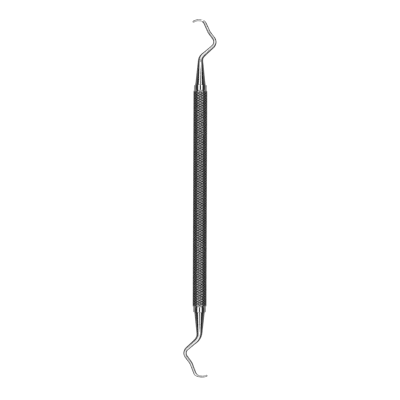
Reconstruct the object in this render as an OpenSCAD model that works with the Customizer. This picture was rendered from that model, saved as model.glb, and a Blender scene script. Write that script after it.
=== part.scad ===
// Double-ended dental hand scaler with a hollow octagonal handle.
// The handle's axis lies along Y. The instrument rests on one flat of the handle at Z = 0,
// and the origin is the middle of that flat.
// The lower end is made as the upper end is and then reflected through the middle of the handle,
// which makes the two blades a left-handed and right-handed pair.

/* [Handle tube] */
// Distance across the flats of the octagonal tube, over the crests of its knurl
handle_flats = 6.6; // [6.4:0.1:8]
// Length of the tube from end face to end face
tube_length = 102; // [90:1:115]
// Diameter of the tube's bore
tube_bore = 4.6; // [4:0.1:4.8]
// Slope of the turned chamfer at each end of the tube, measured from the axis
tube_chamfer_angle = 28; // [20:1:45]

/* [End collars] */
// Outside diameter of the turned collar
collar_diameter = 6.24; // [5.4:0.02:6.36]
// Length of the collar that shows beyond the tube
collar_length = 2.4; // [1.6:0.1:5]
// Width of the broken edge round the collar's outer face
collar_edge = 0.1; // [0.1:0.05:0.4]
// Length of the collar's spigot inside the tube
spigot_length = 8; // [5:0.5:14]
// Width of the lead-in at the spigot's inner end
spigot_lead = 0.3; // [0.1:0.05:0.6]

/* [Working ends] */
// Diameter of the tang held in the collar
tang_diameter = 2.8; // [2:0.1:3.2]
// Length of the tang behind the cone's shoulder
tang_length = 11; // [6:0.5:14]
// Width of the chamfer at the tang's inner end
tang_chamfer = 0.3; // [0.1:0.05:0.5]
// Diameter of the cone where it stands on the collar
cone_diameter = 4.95; // [4:0.05:5.2]
// Length of the straight cone
cone_length = 9.7; // [8:0.1:9.7]
// Diameter of the shank where the cone ends
shank_start_diameter = 2.92; // [2.2:0.02:3]
// Diameter that the shank thins to at the blade
shank_end_diameter = 1.5; // [1.3:0.05:1.7]
// Distance along the shank in which its taper fades to about a third
shank_taper_fade = 6; // [3:0.5:12]

/* [Blades] */
// Length of the blade, from where its face begins to the tip of its toe
blade_length = 7; // [5.5:0.1:7.5]
// Distance over which the round shank becomes the blade
heel_length = 3; // [1.5:0.1:3.5]
// Width of the blade's face at the heel
face_width_heel = 1.5; // [1:0.05:1.7]
// Width of the blade's face where its round toe begins
face_width_toe = 1.2; // [0.7:0.05:1.3]
// Depth of the half-round back below the face
back_depth = 0.8; // [0.5:0.05:1]
// Length of the round end of the toe
toe_round = 0.6; // [0.4:0.05:0.9]

/* [Hidden] */

// Sides of the true round surfaces
$fn = 96;
// The handle's sides
handle_sides = 8;
axis_height = handle_flats / 2;
tube_end = tube_length / 2;
collar_face = tube_end + collar_length;
collar_radius = collar_diameter / 2;
bore_radius = tube_bore / 2;
tang_radius = tang_diameter / 2;

// Corners of each shank's centreline: across the handle and beyond the collar's face. The last
// value is the radius that the corner is bent to. The last row is the tip of the toe, which
// isn't bent. Each shank is bent in one plane. The two are bent by hand, and the lower one's
// bends lie a little nearer the handle.
upper_bends = [
    [0, 12.97, 3.6],
    [7.77, 19.92, 2.9],
    [4.05, 24.81, 6],
    [1.6, 30.12, 2.8],
    [-1.5, 30.94, 4.6],
    [-3.94, 29.68, 0]
];
lower_bends = [
    [0, 12.08, 5.1],
    [7.73, 18.92, 2.75],
    [3.92, 23.98, 5],
    [1.63, 29.97, 2.8],
    [-1.55, 30.6, 4.8],
    [-3.99, 29.95, 0]
];
// Direction that a blade's face looks in, before it is squared to the blade
face_direction = [0, -0.8, 0.6];
// Rings swept round each bend, and the longest gap between rings on the straights and on the toe
bend_rings = 7;
ring_gap = 1.5;
toe_gap = 0.15;
// Points round each ring
ring_points = 16;
// The sweep starts inside the cone by this much, so that the two are one solid
cone_overlap = 0.4;
// Part of the full section that is left at the tip of the toe
toe_tip_share = 0.2;
// How far a cutter or a bore runs past the solid that it cuts
overshoot = 1;
// How far the turned envelope clears the octagon's corners
corner_clearance = 0.1;

function unit(v) = v / norm(v);
function mix(a, b, t) = a + (b - a) * t;
function smooth(t) = let (c = max(0, min(1, t))) c * c * (3 - 2 * c);
function place(bend) = [bend[0], bend[1], 0];

// Stations round one corner, each a point and the direction of travel there
function bend_stations(from, corner, to, radius) =
    let (
        entry = unit(corner - from),
        exit = unit(to - corner),
        turn = acos(entry * exit),
        inward = unit(exit - (exit * entry) * entry),
        start = corner - entry * radius * tan(turn / 2),
        centre = start + inward * radius
    )
    [for (i = [0 : bend_rings])
        let (a = turn * i / bend_rings)
        [centre + radius * (entry * sin(a) - inward * cos(a)), entry * cos(a) + inward * sin(a)]];

// Adds stations to a straight between two others, so that no gap is longer than the one given
function filled(a, b, gap) =
    let (steps = ceil(norm(b[0] - a[0]) / gap))
    [for (i = [0 : steps - 1])
        [mix(a[0], b[0], i / steps), unit(mix(a[1], b[1], i / steps))]];

// Distance from the first station to each of them
function travelled(stations) =
    [for (i = 0, d = 0; i < len(stations);
        d = d + (i + 1 < len(stations) ? norm(stations[i + 1][0] - stations[i][0]) : 0), i = i + 1) d];

// Stations at the start, round every bend, and at the tip of the toe
function bent_stations(bends) =
    let (
        root = [0, cone_length - cone_overlap, 0],
        corners = concat([root], [for (b = bends) place(b)]),
        last = len(corners) - 1
    )
    concat(
        [[root, [0, 1, 0]]],
        [for (i = [1 : last - 1])
            each bend_stations(corners[i - 1], corners[i], corners[i + 1], bends[i - 1][2])],
        [[corners[last], unit(corners[last] - corners[last - 1])]]
    );

// All the stations of a shank, with the straights and the toe divided further
function shank_stations(bends) =
    let (
        bent = bent_stations(bends),
        last = len(bent) - 1
    )
    concat(
        [for (i = [0 : last - 1]) each filled(bent[i], bent[i + 1], i < last - 1 ? ring_gap : toe_gap)],
        [bent[last]]
    );

// Radius of the round shank at a distance from the start of the sweep
function shank_radius(d) =
    (shank_end_diameter + (shank_start_diameter - shank_end_diameter) * exp(-d / shank_taper_fade)) / 2;

// Share of the full section that is left near the tip, where the toe is rounded off
function toe_share(from_tip) =
    let (t = max(0, 1 - from_tip / toe_round))
    max(toe_tip_share, sqrt(max(0, 1 - t * t)));

// One ring of the sweep: round on the shank, and half-round with a flat face on the blade
function ring(station, d, from_tip) =
    let (
        forward = station[1],
        face = unit(face_direction - (face_direction * forward) * forward),
        side = cross(forward, face),
        blade = smooth((blade_length - from_tip) / heel_length),
        along = max(0, min(1, 1 - from_tip / blade_length)),
        share = toe_share(from_tip),
        round = shank_radius(d),
        half_width = mix(round, mix(face_width_heel, face_width_toe, along) / 2, blade) * share,
        depth = mix(round, back_depth, blade) * share,
        crown = mix(round, 0, blade),
        lift = mix(0, back_depth / 2, blade)
    )
    [for (i = [0 : ring_points - 1])
        let (a = 360 * i / ring_points)
        station[0] + side * half_width * cos(a)
            + face * ((sin(a) > 0 ? crown : depth) * sin(a) + lift)];

// Points of a whole sweep, ring after ring
function swept_points(stations) =
    let (
        distances = travelled(stations),
        length = distances[len(distances) - 1]
    )
    [for (i = [0 : len(stations) - 1]) each ring(stations[i], distances[i], length - distances[i])];

// Faces between a number of rings, with the two ends closed
function swept_faces(ring_count) =
    concat(
        [[for (i = [ring_points - 1 : -1 : 0]) i]],
        [for (k = [0 : ring_count - 2]) for (i = [0 : ring_points - 1])
            let (j = (i + 1) % ring_points, a = k * ring_points, b = a + ring_points)
            each [[a + i, b + j, b + i], [a + i, a + j, b + j]]],
        [[for (i = [0 : ring_points - 1]) (ring_count - 1) * ring_points + i]]
    );

// Lays something that stands on Z = 0 along the handle's axis, with its base at a distance
// from the middle
module along_axis(base = 0) {
    translate([0, base, 0]) rotate([-90, 0, 0]) children();
}

// Reflects an upper end through the middle of the handle, where the lower end is
module other_end() {
    rotate([0, 180, 0]) mirror([0, 1, 0]) children();
}

// Raises the handle's axis so that its lowest flat is at Z = 0
module raised() {
    translate([0, 0, axis_height]) children();
}

// The body of revolution that the tube's chamfered ends are turned to
module turned_envelope() {
    corner_radius = axis_height / cos(180 / handle_sides) + corner_clearance;
    chamfer_length = (corner_radius - collar_radius) / tan(tube_chamfer_angle);
    rotate_extrude() polygon([
        [0, -tube_end],
        [collar_radius, -tube_end],
        [corner_radius, -tube_end + chamfer_length],
        [corner_radius, tube_end - chamfer_length],
        [collar_radius, tube_end],
        [0, tube_end]
    ]);
}

module octagon_prism() {
    corner_radius = axis_height / cos(180 / handle_sides);
    rotate([0, 0, 180 / handle_sides])
        cylinder(r = corner_radius, h = tube_length, $fn = handle_sides, center = true);
}

module handle_tube() {
    color("dimgray") raised() along_axis() difference() {
        intersection() {
            octagon_prism();
            turned_envelope();
        }
        cylinder(r = bore_radius, h = tube_length + 2 * overshoot, center = true);
    }
}

// A collar with its spigot, standing on Z = 0 at the spigot's inner end
module collar() {
    height = spigot_length + collar_length;
    difference() {
        rotate_extrude() polygon([
            [0, 0],
            [bore_radius - spigot_lead, 0],
            [bore_radius, spigot_lead],
            [bore_radius, spigot_length],
            [collar_radius, spigot_length],
            [collar_radius, height - collar_edge],
            [collar_radius - collar_edge, height],
            [0, height]
        ]);
        translate([0, 0, -overshoot]) cylinder(r = tang_radius, h = height + 2 * overshoot);
    }
}

module upper_collar() {
    color("silver") raised() along_axis(tube_end - spigot_length) collar();
}

module lower_collar() {
    color("silver") raised() other_end() along_axis(tube_end - spigot_length) collar();
}

// Tang and cone, as one turned piece
module tang_and_cone() {
    along_axis(-tang_length) {
        cylinder(r1 = tang_radius - tang_chamfer, r2 = tang_radius, h = tang_chamfer);
        translate([0, 0, tang_chamfer]) cylinder(r = tang_radius, h = tang_length - tang_chamfer);
    }
    along_axis() cylinder(r1 = cone_diameter / 2, r2 = shank_start_diameter / 2, h = cone_length);
}

module working_end(bends) {
    stations = shank_stations(bends);
    translate([0, collar_face, 0]) {
        tang_and_cone();
        polyhedron(points = swept_points(stations), faces = swept_faces(len(stations)), convexity = 6);
    }
}

module upper_working_end() {
    color("gainsboro") raised() working_end(upper_bends);
}

module lower_working_end() {
    color("gainsboro") raised() other_end() working_end(lower_bends);
}

handle_tube();
upper_collar();
lower_collar();
upper_working_end();
lower_working_end();
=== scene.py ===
import math

import bmesh
import bpy
import numpy as np
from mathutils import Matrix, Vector

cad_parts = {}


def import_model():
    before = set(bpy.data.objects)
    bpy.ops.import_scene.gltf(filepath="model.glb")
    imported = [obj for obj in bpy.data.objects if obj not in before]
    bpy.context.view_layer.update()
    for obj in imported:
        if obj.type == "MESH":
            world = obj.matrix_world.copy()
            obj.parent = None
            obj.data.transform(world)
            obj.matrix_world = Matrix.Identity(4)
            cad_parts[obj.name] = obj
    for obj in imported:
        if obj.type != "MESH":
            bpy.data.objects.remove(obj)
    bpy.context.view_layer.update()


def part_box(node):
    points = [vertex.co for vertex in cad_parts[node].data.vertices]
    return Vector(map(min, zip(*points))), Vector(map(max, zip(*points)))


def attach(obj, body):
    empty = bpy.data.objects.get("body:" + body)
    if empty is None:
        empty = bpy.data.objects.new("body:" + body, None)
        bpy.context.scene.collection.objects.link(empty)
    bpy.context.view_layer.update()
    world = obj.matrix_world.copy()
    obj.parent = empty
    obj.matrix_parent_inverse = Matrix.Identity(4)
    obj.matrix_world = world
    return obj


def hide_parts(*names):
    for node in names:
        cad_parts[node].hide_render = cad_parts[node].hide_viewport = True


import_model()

MM = 0.001
BODY = "root"
ENDS = (("upper", 1), ("lower", -1))

# The frame's own sizes
TUBE_LOW, TUBE_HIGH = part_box("handle_tube")
COLLAR_LOW, COLLAR_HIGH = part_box("upper_collar")
AXIS_Z = (TUBE_LOW.z + TUBE_HIGH.z) / 2
HALF_FLATS = (TUBE_HIGH.x - TUBE_LOW.x) / 2
TUBE_END = TUBE_HIGH.y
COLLAR_FACE = COLLAR_HIGH.y
COLLAR_RADIUS = (COLLAR_HIGH.x - COLLAR_LOW.x) / 2
SPIGOT_END = COLLAR_LOW.y

# How finely round shapes are divided, and the angles in degrees above which an edge is sharp
TURNED_SEGMENTS = 192
FILLET_STEPS = 6
BEND_STEPS = 48
SHARP_ANGLE = 35
KNURL_SHARP_ANGLE = 25
WORKING_END_SHARP_ANGLE = 30

# Handle tube. Its chamfers are cut by cones that reach past the octagon's corners
HANDLE_SIDES = 8
BORE_RADIUS = 2.3 * MM
TUBE_CHAMFER_ANGLE = math.radians(28)
CORNER_FILLET = 0.22 * MM
CHAMFER_REACH = HALF_FLATS * 1.2

# Diamond knurl: diamonds in one turn, their pitch along the handle and the groove depth
KNURL_STARTS = 11
KNURL_PITCH = 1.15 * MM
KNURL_DEPTH = 0.26 * MM
# The knurl stops this far short of the tube's end, and runs out over this length
KNURL_LAND = 0.7 * MM
KNURL_RUN_OUT = 0.05 * MM
# Where a diamond is divided, from one groove's bottom to the next, and its height there
KNURL_STEPS = (0, 0.15, 0.22, 0.5, 0.78, 0.85, 1)
KNURL_HEIGHTS = (0, 0.85, 1, 1, 1, 0.85, 0)
# How many pitches past its rows of diamonds the blank closes to a point
KNURL_CAP_PITCHES = 4

# Collars: the fillets at the spigot's end and root, and at the collar's back, face and hole
SPIGOT_EDGE = 0.3 * MM
SPIGOT_ROOT = 0.03 * MM
COLLAR_BACK_EDGE = 0.05 * MM
COLLAR_FACE_EDGE = 0.1 * MM
COLLAR_HOLE_EDGE = 0.05 * MM
# A point beyond each end of a fillet, by this share of its size, keeps its slanted shading off
# the straight runs
FILLET_SUPPORT = 0.1

# Working ends: corners of each shank's centreline, in mm, across the handle and beyond the
# collar's face, each with the radius of its bend. The last row is the tip of the toe. The lower
# end is then reflected through the middle of the handle.
UPPER_BENDS = (
    (0, 12.97, 3.6),
    (7.77, 19.92, 2.9),
    (4.05, 24.81, 6),
    (1.6, 30.12, 2.8),
    (-1.5, 30.94, 4.6),
    (-3.94, 29.68, 0),
)
LOWER_BENDS = (
    (0, 12.08, 5.1),
    (7.73, 18.92, 2.75),
    (3.92, 23.98, 5),
    (1.63, 29.97, 2.8),
    (-1.55, 30.6, 4.8),
    (-3.99, 29.95, 0),
)
TANG_RADIUS = 1.4 * MM
TANG_LENGTH = 11 * MM
TANG_CHAMFER = 0.3 * MM
CONE_LENGTH = 9.7 * MM
CONE_RADIUS = 2.475 * MM
# The cone's broken edge at the collar, and where its middle point lies as shares of that edge
CONE_EDGE = 0.12 * MM
CONE_EDGE_ALONG, CONE_EDGE_INWARD = 0.3, 0.33
SHANK_START_RADIUS = 1.46 * MM
SHANK_END_RADIUS = 0.75 * MM
SHANK_TAPER_FADE = 6 * MM
# Blades: the way their cutting faces look, and their sizes from the heel to the round toe
FACE_DIRECTION = (0, -0.8, 0.6)
BLADE_LENGTH = 7.0 * MM
HEEL_LENGTH = 3.0 * MM
FACE_WIDTH_HEEL = 1.5 * MM
FACE_WIDTH_TOE = 1.2 * MM
BACK_DEPTH = 0.8 * MM
TOE_ROUND = 0.6 * MM
# The square of the tip's share of the full section, which keeps the tip from being a point
TIP_SHARE_SQUARED = 0.0025
# The ground face and the honed back, whose darker tone is painted shade, start where the section is
# this share of the way from a round shank to a blade
FINISH_START = 0.6
# Points in a ring, the distance between the shank's rings, and the rings of blade and toe
RING_POINTS = 72
SHANK_RING_STEP = 0.25 * MM
BLADE_RINGS = 60
TOE_RINGS = 16
# The order of a working end's three materials: polished, ground, and honed with its tone darkened as
# painted shade
POLISHED, GROUND, HONED_SHADED = 0, 1, 2


def unit(v):
    return v / np.linalg.norm(v)


def smoothstep(t):
    t = np.clip(t, 0, 1)
    return t * t * (3 - 2 * t)


def mesh_object(name, points, faces, materials, material_index=None, sharp_angle=SHARP_ANGLE):
    """A smooth-shaded object from points and faces, with its edges sharp above an angle."""
    mesh = bpy.data.meshes.new(name)
    mesh.from_pydata([tuple(p) for p in points], [], [tuple(f) for f in faces])
    for material in materials:
        mesh.materials.append(material)
    if material_index is not None:
        mesh.polygons.foreach_set("material_index", np.asarray(material_index, np.int32))
    mesh.update()
    finish_mesh(mesh, sharp_angle)
    piece = bpy.data.objects.new(name, mesh)
    bpy.context.scene.collection.objects.link(piece)
    return piece


def finish_mesh(mesh, sharp_angle):
    """Points the faces outwards, shades them smooth and marks the sharp edges."""
    work = bmesh.new()
    work.from_mesh(mesh)
    bmesh.ops.recalc_face_normals(work, faces=work.faces)
    work.to_mesh(mesh)
    work.free()
    mesh.polygons.foreach_set("use_smooth", np.ones(len(mesh.polygons), bool))
    mesh.set_sharp_from_angle(angle=math.radians(sharp_angle))


def fillet_corners(corners):
    """A closed outline with its corners rounded: each corner is (along, radius, fillet)."""
    outline = []
    count = len(corners)
    for i, (y, r, fillet) in enumerate(corners):
        here = np.array((y, r), float)
        before = np.array(corners[i - 1][:2], float)
        after = np.array(corners[(i + 1) % count][:2], float)
        if fillet == 0:
            outline.append(here)
            continue
        start = here + unit(before - here) * fillet
        end = here + unit(after - here) * fillet
        outline.append(start + (start - here) * FILLET_SUPPORT)
        for k in range(FILLET_STEPS + 1):
            t = k / FILLET_STEPS
            outline.append((1 - t) ** 2 * start + 2 * t * (1 - t) * here + t ** 2 * end)
        outline.append(end + (end - here) * FILLET_SUPPORT)
    return outline


def lathe(name, corners, material):
    """Turns a closed outline of (along, radius, fillet) corners round the handle's axis."""
    outline = fillet_corners(corners)
    count = len(outline)
    points = []
    for k in range(TURNED_SEGMENTS):
        a = 2 * math.pi * k / TURNED_SEGMENTS
        points += [(r * math.cos(a), y, AXIS_Z + r * math.sin(a)) for y, r in outline]
    faces = []
    for k in range(TURNED_SEGMENTS):
        here, beyond = k * count, (k + 1) % TURNED_SEGMENTS * count
        for i in range(count):
            j = (i + 1) % count
            faces.append((here + i, here + j, beyond + j, beyond + i))
    return mesh_object(name, points, faces, [material])


# ---------------------------------------------------------------- knurled handle

def octagon_profile():
    """The octagon's outline with its corners rounded, and the length of that outline.

    The outline is a function from a distance along it to a place and the normal there."""
    turn = 2 * math.pi / HANDLE_SIDES
    side = 2 * HALF_FLATS * math.tan(turn / 2)
    flat = side - 2 * CORNER_FILLET * math.tan(turn / 2)
    arc = CORNER_FILLET * turn
    step = flat + arc

    def at(u):
        index = math.floor((u + flat / 2) / step)
        local = u + flat / 2 - index * step
        base = index * turn
        if local <= flat:
            across, normal = local - flat / 2, base
            centre = np.array((across, HALF_FLATS))
        else:
            normal = base + (local - flat) / CORNER_FILLET
            swing = normal - base
            centre = np.array((flat / 2 + CORNER_FILLET * math.sin(swing),
                               HALF_FLATS - CORNER_FILLET * (1 - math.cos(swing))))
        c, s = math.cos(base), math.sin(base)
        place = np.array((centre[0] * c + centre[1] * s, centre[1] * c - centre[0] * s))
        return place, np.array((math.sin(normal), math.cos(normal)))

    return at, step * HANDLE_SIDES


def knurl_lattice():
    """Points and faces of the raised diamonds round the octagon, and the rows from its middle.

    A point has one key across each of the two crossing families of grooves. Points that lie a
    whole turn of the handle apart are the same point."""
    profile, perimeter = octagon_profile()
    steps = len(KNURL_STEPS) - 1
    turn_keys = KNURL_STARTS * steps
    pitch_round = perimeter / KNURL_STARTS
    rows = math.ceil(TUBE_END / KNURL_PITCH) + 1
    ids, points, faces = {}, [], []

    def fraction(key):
        cell, step = divmod(key, steps)
        return cell + KNURL_STEPS[step], KNURL_HEIGHTS[step]

    def vertex(a, b):
        shift = (a + b) // (2 * turn_keys)
        a, b = a - shift * turn_keys, b - shift * turn_keys
        if (a, b) not in ids:
            (fa, ha), (fb, hb) = fraction(a), fraction(b)
            place, normal = profile(pitch_round * (fa + fb) / 2 - pitch_round / 2)
            y = KNURL_PITCH * (fa - fb) / 2
            cut_in = smoothstep((TUBE_END - KNURL_LAND - abs(y)) / KNURL_RUN_OUT)
            x, z = place + normal * KNURL_DEPTH * (min(ha, hb) - 1) * cut_in
            ids[a, b] = len(points)
            points.append((x, y, AXIS_Z + z))
        return ids[a, b]

    for total in range(2 * KNURL_STARTS):
        for difference in range(-2 * rows, 2 * rows + 1):
            if (total + difference) % 2:
                continue
            cell_a, cell_b = (total + difference) // 2, (total - difference) // 2
            for p in range(steps):
                for q in range(steps):
                    a, b = cell_a * steps + p, cell_b * steps + q
                    quad = [vertex(a, b), vertex(a + 1, b), vertex(a + 1, b + 1), vertex(a, b + 1)]
                    if p == q:
                        faces += [(quad[0], quad[1], quad[2]), (quad[0], quad[2], quad[3])]
                    elif p + q == steps - 1:
                        faces += [(quad[0], quad[1], quad[3]), (quad[1], quad[2], quad[3])]
                    else:
                        faces.append(quad)
    return points, faces, rows


def knurled_blank(material):
    """A closed octagonal bar with a raised diamond lattice, longer than the tube at both ends."""
    points, faces, rows = knurl_lattice()
    work = bmesh.new()
    made = [work.verts.new(p) for p in points]
    for f in faces:
        work.faces.new([made[i] for i in f])
    cap = KNURL_CAP_PITCHES * KNURL_PITCH + rows * KNURL_PITCH
    tips = {side: work.verts.new((0, side * cap, AXIS_Z)) for _, side in ENDS}
    for edge in [e for e in work.edges if e.is_boundary]:
        tip = tips[1 if edge.verts[0].co.y > 0 else -1]
        work.faces.new((edge.verts[0], edge.verts[1], tip))
    bmesh.ops.recalc_face_normals(work, faces=work.faces)
    mesh = bpy.data.meshes.new("knurled_blank")
    work.to_mesh(mesh)
    work.free()
    mesh.materials.append(material)
    blank = bpy.data.objects.new("knurled_blank", mesh)
    bpy.context.scene.collection.objects.link(blank)
    return blank


def cut(target, tool, operation):
    """Applies one boolean to the target and removes the tool."""
    modifier = target.modifiers.new("cut", "BOOLEAN")
    modifier.object = tool
    modifier.operation = operation
    modifier.solver = "MANIFOLD"
    modifier.material_mode = "TRANSFER"
    depsgraph = bpy.context.evaluated_depsgraph_get()
    result = bpy.data.meshes.new_from_object(target.evaluated_get(depsgraph))
    target.modifiers.clear()
    target.data = result
    bpy.data.objects.remove(tool)


def handle_tube(knurl_material, turned_material):
    """The knurled blank cut to the tube's length, with its bore and its turned chamfers."""
    handle = knurled_blank(knurl_material)
    handle.name = "knurled_handle"
    rise = (CHAMFER_REACH - COLLAR_RADIUS) / math.tan(TUBE_CHAMFER_ANGLE)
    envelope = lathe("envelope", [
        (-TUBE_END, BORE_RADIUS, 0),
        (-TUBE_END, COLLAR_RADIUS, 0),
        (-TUBE_END + rise, CHAMFER_REACH, 0),
        (TUBE_END - rise, CHAMFER_REACH, 0),
        (TUBE_END, COLLAR_RADIUS, 0),
        (TUBE_END, BORE_RADIUS, 0),
    ], turned_material)
    cut(handle, envelope, "INTERSECT")
    finish_mesh(handle.data, KNURL_SHARP_ANGLE)
    return handle


# ---------------------------------------------------------------- collars

def collar(name, side, material):
    """A collar with its spigot. side is 1 for the upper end and -1 for the lower."""
    corners = [
        (SPIGOT_END, TANG_RADIUS, 0),
        (SPIGOT_END, BORE_RADIUS, SPIGOT_EDGE),
        (TUBE_END, BORE_RADIUS, SPIGOT_ROOT),
        (TUBE_END, COLLAR_RADIUS, COLLAR_BACK_EDGE),
        (COLLAR_FACE, COLLAR_RADIUS, COLLAR_FACE_EDGE),
        (COLLAR_FACE, TANG_RADIUS, COLLAR_HOLE_EDGE),
    ]
    return lathe(name, [(side * y, r, f) for y, r, f in corners], material)


# ---------------------------------------------------------------- working ends

def bent_path(bends):
    """Places and directions along a shank's centreline, in metres, from the collar's face."""
    chain = [np.zeros(3)] + [np.array((across, along, 0)) * MM for across, along, _ in bends]
    places, ways = [chain[0]], [unit(chain[1] - chain[0])]
    for i, bend in enumerate(bends[:-1]):
        before, corner, after = chain[i], chain[i + 1], chain[i + 2]
        entry, leave = unit(corner - before), unit(after - corner)
        turn = math.acos(entry @ leave)
        inward = unit(leave - (leave @ entry) * entry)
        radius = bend[2] * MM
        start = corner - entry * radius * math.tan(turn / 2)
        centre = start + inward * radius
        for k in range(BEND_STEPS + 1):
            a = turn * k / BEND_STEPS
            places.append(centre + radius * (entry * math.sin(a) - inward * math.cos(a)))
            ways.append(entry * math.cos(a) + inward * math.sin(a))
    places.append(chain[-1])
    ways.append(unit(chain[-1] - chain[-2]))
    return np.array(places), np.array(ways)


def shank_radius(d):
    """Radius of the round shank at a distance past the collar's face."""
    cone = CONE_RADIUS + (SHANK_START_RADIUS - CONE_RADIUS) * d / CONE_LENGTH
    faded = SHANK_END_RADIUS + (SHANK_START_RADIUS - SHANK_END_RADIUS) * np.exp(
        -np.maximum(d - CONE_LENGTH, 0) / SHANK_TAPER_FADE)
    return np.where(d < CONE_LENGTH, cone, faded)


def tang_rings(angles):
    """Rings of points from the tang's end to the cone's broken edge."""
    outline = [
        (-TANG_LENGTH, TANG_RADIUS - TANG_CHAMFER),
        (-TANG_LENGTH + TANG_CHAMFER, TANG_RADIUS),
        (0, TANG_RADIUS),
        (0, CONE_RADIUS - CONE_EDGE),
        (CONE_EDGE * CONE_EDGE_ALONG, CONE_RADIUS - CONE_EDGE * CONE_EDGE_INWARD),
        (CONE_EDGE, float(shank_radius(CONE_EDGE))),
    ]
    return [[(r * math.cos(a), y, r * math.sin(a)) for a in -angles] for y, r in outline]


def ring_distances(total):
    """Distances past the collar's face of the rings of cone, shank, blade and toe, up to total."""
    blade_start = total - BLADE_LENGTH
    toe_start = total - TOE_ROUND
    shank = np.arange(0, blade_start, SHANK_RING_STEP)
    blade = np.linspace(blade_start, toe_start, BLADE_RINGS)
    toe = toe_start + TOE_ROUND * np.sin(np.linspace(0, math.pi / 2, TOE_RINGS)[1:])
    return np.concatenate([shank[1:], blade[1:], toe])


def section(left, radius):
    """The section where this length is left to the tip, on a shank of this radius.

    Returns half its width, its depth, its crown on the face's side, its lift towards the face,
    and its share of the way from a round shank to a blade."""
    bladed = float(smoothstep((BLADE_LENGTH - left) / HEEL_LENGTH))
    along = min(1, max(0, 1 - left / BLADE_LENGTH))
    face_width = FACE_WIDTH_HEEL + (FACE_WIDTH_TOE - FACE_WIDTH_HEEL) * along
    toe_share = math.sqrt(max(TIP_SHARE_SQUARED, 1 - max(0, 1 - left / TOE_ROUND) ** 2))
    half_width = (radius + (face_width / 2 - radius) * bladed) * toe_share
    depth = (radius + (BACK_DEPTH - radius) * bladed) * toe_share
    crown = radius * (1 - bladed)
    lift = BACK_DEPTH / 2 * bladed
    return half_width, depth, crown, lift, bladed


def skin(rings, on_blade):
    """Faces from each ring to the next and over both ends, and the material of each face."""
    faces, finishes = [], []
    for k in range(len(rings) - 1):
        a, b = k * RING_POINTS, (k + 1) * RING_POINTS
        for i in range(RING_POINTS):
            j = (i + 1) % RING_POINTS
            faces.append((a + i, a + j, b + j, b + i))
            # The face's half is ground; the back's half is honed, toned darker as painted shade
            blade_finish = GROUND if i < RING_POINTS // 2 else HONED_SHADED
            finishes.append(blade_finish if on_blade[k] else POLISHED)
    last = (len(rings) - 1) * RING_POINTS
    faces.append(tuple(range(RING_POINTS)))
    faces.append(tuple(range(last, last + RING_POINTS)))
    finishes += [POLISHED, POLISHED]
    return faces, finishes


def working_end(name, side, bends, polished, ground, honed_shaded):
    """Tang, cone, bent shank and blade in one piece. side is 1 for the upper end, -1 for the lower."""
    places, ways = bent_path(bends)
    travelled = np.concatenate([[0], np.cumsum(np.linalg.norm(np.diff(places, axis=0), axis=1))])
    total = travelled[-1]
    direction = np.array(FACE_DIRECTION)
    angles = np.arange(RING_POINTS) * 2 * math.pi / RING_POINTS
    rings = tang_rings(angles)
    on_blade = [False] * len(rings)
    for d in ring_distances(total):
        place = np.array([np.interp(d, travelled, places[:, k]) for k in range(3)])
        way = unit(np.array([np.interp(d, travelled, ways[:, k]) for k in range(3)]))
        face = unit(direction - (direction @ way) * way)
        across = np.cross(way, face)
        half_width, depth, crown, lift, bladed = section(total - d, float(shank_radius(d)))
        ring = []
        for a in angles:
            rise = (crown if math.sin(a) > 0 else depth) * math.sin(a) + lift
            ring.append(place + across * half_width * math.cos(a) + face * rise)
        rings.append(ring)
        on_blade.append(bladed > FINISH_START)
    faces, finishes = skin(rings, on_blade)
    origin = np.array((0, COLLAR_FACE, AXIS_Z))
    middle = np.array((0, 0, AXIS_Z))
    placed = [middle + side * (np.asarray(p) + origin - middle) for ring in rings for p in ring]
    materials = [polished, ground, honed_shaded]
    return mesh_object(name, placed, faces, materials, finishes, WORKING_END_SHARP_ANGLE)


# ---------------------------------------------------------------- materials

# The numbers of a colour Mix node's sockets
MIX_FACTOR, MIX_LOW, MIX_HIGH, MIX_RESULT = 0, 6, 7, 2


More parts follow.
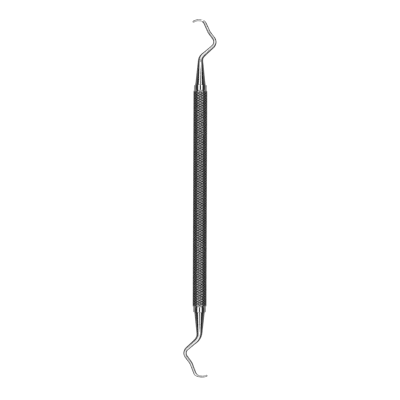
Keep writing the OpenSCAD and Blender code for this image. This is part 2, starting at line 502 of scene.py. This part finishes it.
class Nodes:
    """A short way to build a material's node tree."""

    def __init__(self, name):
        self.material = bpy.data.materials.new(name)
        self.material.use_nodes = True
        self.tree = self.material.node_tree
        self.tree.nodes.clear()
        self.shader = self.tree.nodes.new("ShaderNodeBsdfPrincipled")
        output = self.tree.nodes.new("ShaderNodeOutputMaterial")
        self.tree.links.new(self.shader.outputs["BSDF"], output.inputs["Surface"])
        self.coordinates = self.tree.nodes.new("ShaderNodeTexCoord")

    def link(self, source, target):
        self.tree.links.new(source, target)

    def noise(self, scale, detail, roughness=0.55):
        """Noise stretched by a scale along each axis, in features per metre."""
        mapping = self.tree.nodes.new("ShaderNodeMapping")
        mapping.inputs["Scale"].default_value = scale
        self.link(self.coordinates.outputs["Object"], mapping.inputs["Vector"])
        node = self.tree.nodes.new("ShaderNodeTexNoise")
        node.inputs["Scale"].default_value = 1
        node.inputs["Detail"].default_value = detail
        node.inputs["Roughness"].default_value = roughness
        self.link(mapping.outputs["Vector"], node.inputs["Vector"])
        return node.outputs["Fac"]

    def spread(self, value, low, high, from_low=0.3, from_high=0.7):
        """Maps a value's middle range to a new range."""
        node = self.tree.nodes.new("ShaderNodeMapRange")
        node.inputs["From Min"].default_value = from_low
        node.inputs["From Max"].default_value = from_high
        node.inputs["To Min"].default_value = low
        node.inputs["To Max"].default_value = high
        self.link(value, node.inputs["Value"])
        return node.outputs["Result"]

    def grey(self, value, low, high):
        """A grey between two others, by a value from 0 to 1."""
        node = self.tree.nodes.new("ShaderNodeMix")
        node.data_type = "RGBA"
        node.inputs[MIX_LOW].default_value = (low, low, low, 1)
        node.inputs[MIX_HIGH].default_value = (high, high, high, 1)
        self.link(value, node.inputs[MIX_FACTOR])
        return node.outputs[MIX_RESULT]

    def bump(self, height, strength, distance):
        """A normal tilted by a height, which is a distance in metres where its value is 1."""
        node = self.tree.nodes.new("ShaderNodeBump")
        node.inputs["Strength"].default_value = strength
        node.inputs["Distance"].default_value = distance
        self.link(height, node.inputs["Height"])
        return node.outputs["Normal"]

    def attribute(self, name):
        """A number stored at the mesh's points."""
        node = self.tree.nodes.new("ShaderNodeAttribute")
        node.attribute_name = name
        return node.outputs["Fac"]


def steel(name, tone, roughness, marks_scale, marks_strength, edge_tint=1):
    """Bare stainless steel: faint cloudy tone, uneven polish and fine marks.

    Tone and roughness are ranges. An edge tint below 1 darkens what is seen at a low angle."""
    n = Nodes(name)
    n.shader.inputs["Metallic"].default_value = 1
    n.shader.inputs["Specular Tint"].default_value = (edge_tint, edge_tint, edge_tint, 1)
    clouds = n.noise((900, 900, 900), detail=5)
    marks = n.noise(marks_scale, detail=3, roughness=0.7)
    n.link(n.grey(n.spread(clouds, 0, 1), *tone), n.shader.inputs["Base Color"])
    n.link(n.spread(marks, *roughness), n.shader.inputs["Roughness"])
    n.link(n.bump(marks, marks_strength, distance=2e-6), n.shader.inputs["Normal"])
    return n.material


def knurl_steel(name, crest_tone, groove_shade_tone, roughness):
    """Satin steel, lighter on the diamonds' crests, with shade painted near black into the bottom of
    the grooves.
    """
    n = Nodes(name)
    n.shader.inputs["Metallic"].default_value = 1
    depth = n.spread(n.attribute("groove"), 0, 1, from_low=0.02, from_high=0.35)
    clouds = n.noise((1500, 1500, 1500), detail=5)
    grain = n.noise((14000, 14000, 14000), detail=3)
    # Painted shade: the base colour darkens with the groove depth, to near black at the bottom
    n.link(n.grey(depth, crest_tone, groove_shade_tone), n.shader.inputs["Base Color"])
    n.link(n.spread(clouds, *roughness), n.shader.inputs["Roughness"])
    n.link(n.bump(grain, strength=0.3, distance=4e-6), n.shader.inputs["Normal"])
    return n.material


def mark_grooves(handle):
    """Stores how deep each point lies below the handle's flats, as a share of the groove depth; the
    knurl's material paints shade into the grooves by it.
    """
    mesh = handle.data
    co = np.empty(len(mesh.vertices) * 3, np.float32)
    mesh.vertices.foreach_get("co", co)
    co = co.reshape(-1, 3)
    turn = 2 * math.pi / HANDLE_SIDES
    out = np.max([co[:, 0] * math.sin(k * turn) + (co[:, 2] - AXIS_Z) * math.cos(k * turn)
                  for k in range(HANDLE_SIDES)], axis=0)
    share = np.clip((HALF_FLATS - out) / KNURL_DEPTH, 0, 1)
    attribute = mesh.attributes.new("groove", "FLOAT", "POINT")
    attribute.data.foreach_set("value", share.astype(np.float32))


# ---------------------------------------------------------------- stage

# Height of the softboxes that face down, in metres
LIGHT_HEIGHT = 0.5


def floor():
    """A table that glows white, so that no shadow shows on it, just clear of the handle."""
    half_size, z = 10, -0.02 * MM
    n = Nodes("pale_table")
    n.shader.inputs["Roughness"].default_value = 0.9
    n.shader.inputs["Emission Strength"].default_value = 1
    n.shader.inputs["Emission Color"].default_value = (1, 1, 1, 1)
    paper = n.noise((400, 400, 400), detail=3)
    n.link(n.grey(n.spread(paper, 0, 1), 0.04, 0.045), n.shader.inputs["Base Color"])
    points = [(x * half_size, y * half_size, z) for x, y in ((-1, -1), (1, -1), (1, 1), (-1, 1))]
    piece = mesh_object("floor", points, [(0, 1, 2, 3)], [n.material])


def area_light(name, width, height, radiance):
    """A flat rectangular light of an even radiance, facing down until it is turned."""
    light = bpy.data.lights.new(name, "AREA")
    light.shape = "RECTANGLE"
    light.size = width
    light.size_y = height
    light.energy = radiance * math.pi * light.size * light.size_y
    lamp = bpy.data.objects.new(name, light)
    bpy.context.scene.collection.objects.link(lamp)
    return lamp


def softbox(name, x_range, y_range, radiance):
    """A softbox facing down, over a range of x and y in metres at the lights' height."""
    lamp = area_light(name, x_range[1] - x_range[0], y_range[1] - y_range[0], radiance)
    lamp.location = (sum(x_range) / 2, sum(y_range) / 2, LIGHT_HEIGHT)


def lights():
    """Softboxes in one plane: two beside the camera's opening and a bank beyond each end of it.

    The opening gives the dark line down the collars, and a seam in each bank the one on its cone."""
    gap_left, gap_right, opening = -0.115, 0.13, 0.1
    left_edge, right_edge = -0.35, 0.31
    left_radiance, right_radiance = 6.6, 7.8
    softbox("left_softbox", (left_edge, gap_left), (-opening, opening), left_radiance)
    softbox("right_softbox", (gap_right, right_edge), (-opening, opening), right_radiance)
    bank_left, bank_right, bank_end = -0.29, 0.27, 0.55
    seam_start, seam_end = 0.16, 0.2
    side_radiance, middle_radiance = 12, 10
    for end, side in ENDS:
        for name, x_range, near, far, radiance in (
                ("left", (bank_left, gap_left), opening, bank_end, side_radiance),
                ("inner", (gap_left, gap_right), opening, seam_start, middle_radiance),
                ("outer", (gap_left, gap_right), seam_end, bank_end, middle_radiance),
                ("right", (gap_right, bank_right), opening, bank_end, side_radiance)):
            y_range = sorted((side * near, side * far))
            softbox(end + "_" + name + "_softbox", x_range, y_range, radiance)


def end_walls():
    """A tall softbox beyond each end of the instrument, which lights it for the lower views."""
    distance, width, low, high = 1.1, 1.1, 0.2, 0.9
    radiance = 2.2
    for end, side in ENDS:
        lamp = area_light(end + "_wall_softbox", width, high - low, radiance)
        lamp.location = (0, side * distance, (low + high) / 2)
        lamp.rotation_euler = (-side * math.pi / 2, 0, 0)


def world():
    """A dim room, white at the horizon and below it."""
    made = bpy.data.worlds.new("studio")
    made.use_nodes = True
    tree = made.node_tree
    tree.nodes.clear()
    coordinates = tree.nodes.new("ShaderNodeTexCoord")
    split = tree.nodes.new("ShaderNodeSeparateXYZ")
    ramp = tree.nodes.new("ShaderNodeValToRGB")
    background = tree.nodes.new("ShaderNodeBackground")
    output = tree.nodes.new("ShaderNodeOutputWorld")
    tree.links.new(coordinates.outputs["Generated"], split.inputs[0])
    tree.links.new(split.outputs["Z"], ramp.inputs["Fac"])
    tree.links.new(ramp.outputs["Color"], background.inputs["Color"])
    tree.links.new(background.outputs["Background"], output.inputs["Surface"])
    # How high a direction points, from 0 at the horizon to 1 straight up, and the grey there
    stops = ((0, 1), (0.045, 1), (0.075, 0.4), (0.12, 0.14), (1, 0.12))
    elements = ramp.color_ramp.elements
    while len(elements) < len(stops):
        elements.new(0.5)
    for element, (place, grey) in zip(elements, stops):
        element.position = place
        element.color = (grey, grey, grey, 1)
    bpy.context.scene.world = made


def camera():
    """Straight above the handle, a metre over its axis and turned very slightly round its view."""
    distance, frame_width = 1.0, 188.2 * MM
    aim = Vector((0.02 * MM, -0.66 * MM, AXIS_Z))
    turn = math.radians(0.22)
    lens = bpy.data.cameras.new("camera")
    lens.sensor_width = 36
    lens.lens = lens.sensor_width * distance / frame_width
    lens.clip_start = 0.01
    made = bpy.data.objects.new("camera", lens)
    made.location = aim + Vector((0, 0, distance))
    made.rotation_euler = (0, 0, turn)
    bpy.context.scene.collection.objects.link(made)
    bpy.context.scene.camera = made


# Shanks and cones are polished, the collars and the tube's ends turned, the blades' faces ground
# and their backs honed, with painted shade in the backs' darker tone. The tones go with these lights.
polished = steel("polished_steel", tone=(0.1, 0.12), roughness=(0.03, 0.06),
                 marks_scale=(2500, 2500, 2500), marks_strength=0.05, edge_tint=0.2)
turned = steel("turned_steel", tone=(0.16, 0.182), roughness=(0.03, 0.05),
               marks_scale=(60, 9000, 60), marks_strength=0.03)
ground = steel("ground_steel", tone=(0.42, 0.48), roughness=(0.22, 0.34),
               marks_scale=(30000, 900, 900), marks_strength=0.4)
# The honed back's low tone is painted shade, which holds its highlight down under the bright softboxes
honed_shaded = steel("honed_shaded_steel", tone=(0.065, 0.08), roughness=(0.22, 0.32),
              marks_scale=(900, 30000, 900), marks_strength=0.3)
# The knurl's groove tone is painted shade in the grooves
knurled = knurl_steel("knurled_steel", crest_tone=0.092, groove_shade_tone=0.008, roughness=(0.34, 0.44))

handle = handle_tube(knurled, turned)
mark_grooves(handle)
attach(handle, BODY)
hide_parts("handle_tube")

for end, side, bends in (("upper", 1, UPPER_BENDS), ("lower", -1, LOWER_BENDS)):
    ring = collar(end + "_turned_collar", side, turned)
    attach(ring, BODY)
    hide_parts(end + "_collar")
    tool = working_end(end + "_curette", side, bends, polished, ground, honed_shaded)
    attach(tool, BODY)
    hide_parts(end + "_working_end")

floor()
lights()
end_walls()
world()
camera()
bpy.context.scene.view_settings.view_transform = "Standard"
bpy.context.scene.cycles.use_denoising = False
